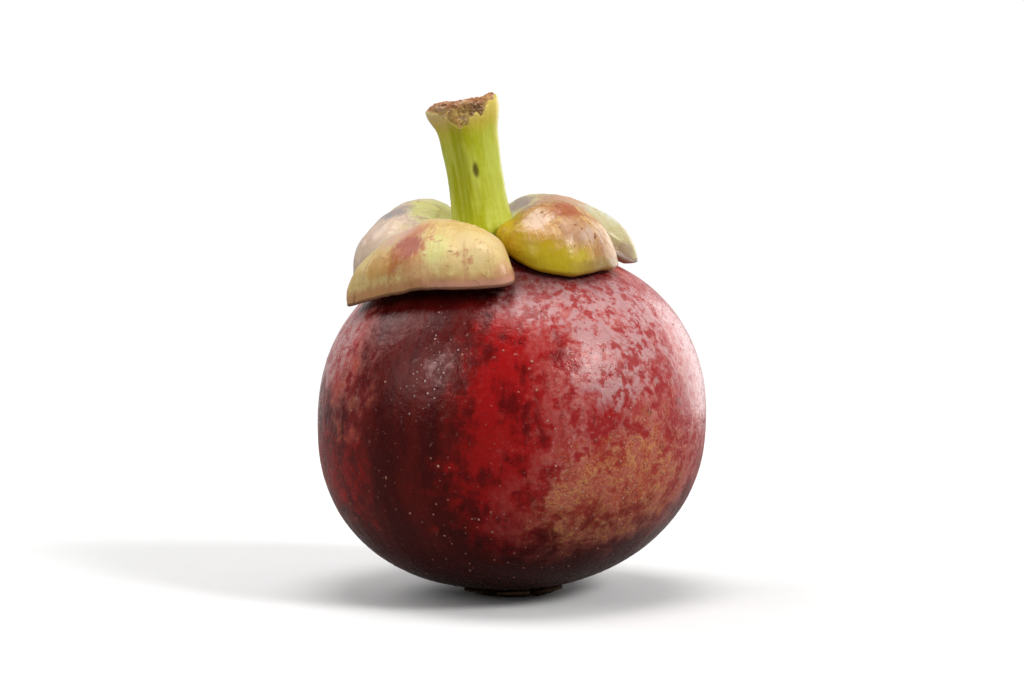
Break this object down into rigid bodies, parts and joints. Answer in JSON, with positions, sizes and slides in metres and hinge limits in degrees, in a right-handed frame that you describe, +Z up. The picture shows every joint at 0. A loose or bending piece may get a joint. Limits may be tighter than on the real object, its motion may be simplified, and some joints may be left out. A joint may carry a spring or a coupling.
{
  "type": "mangosteen",
  "caption": "Whole ripe mangosteen: a round leathery fruit with cupped sepals and a short stalk on top, standing on the stigma rosette at its base.",
  "frame": {"origin": "centre of the small flat spot on the stigma rosette that the fruit stands on", "axes": "+Z up from the flat spot to the stalk; -Y is the front, between the front left and front right sepals; +X is to the right of it"},
  "size_m": [0.0602, 0.0598, 0.0783],
  "materials": {
    "rind": "smooth waxy skin, dark maroon to red, mottled, with fine russet netting",
    "stigma": "dry corky brown",
    "stalk": "fresh yellow-green skin with a brown corky break at the top",
    "sepal": "thick waxy leaf, yellow-tan to brown with an olive edge"
  },
  "bodies": {
    "root": {"fruit_body": "rind", "stigma_rosette": "stigma", "stalk": "stalk", "sepal_front_left": "sepal", "sepal_front_right": "sepal", "sepal_back_right": "sepal", "sepal_back_left": "sepal"}
  },
  "joints": []
}
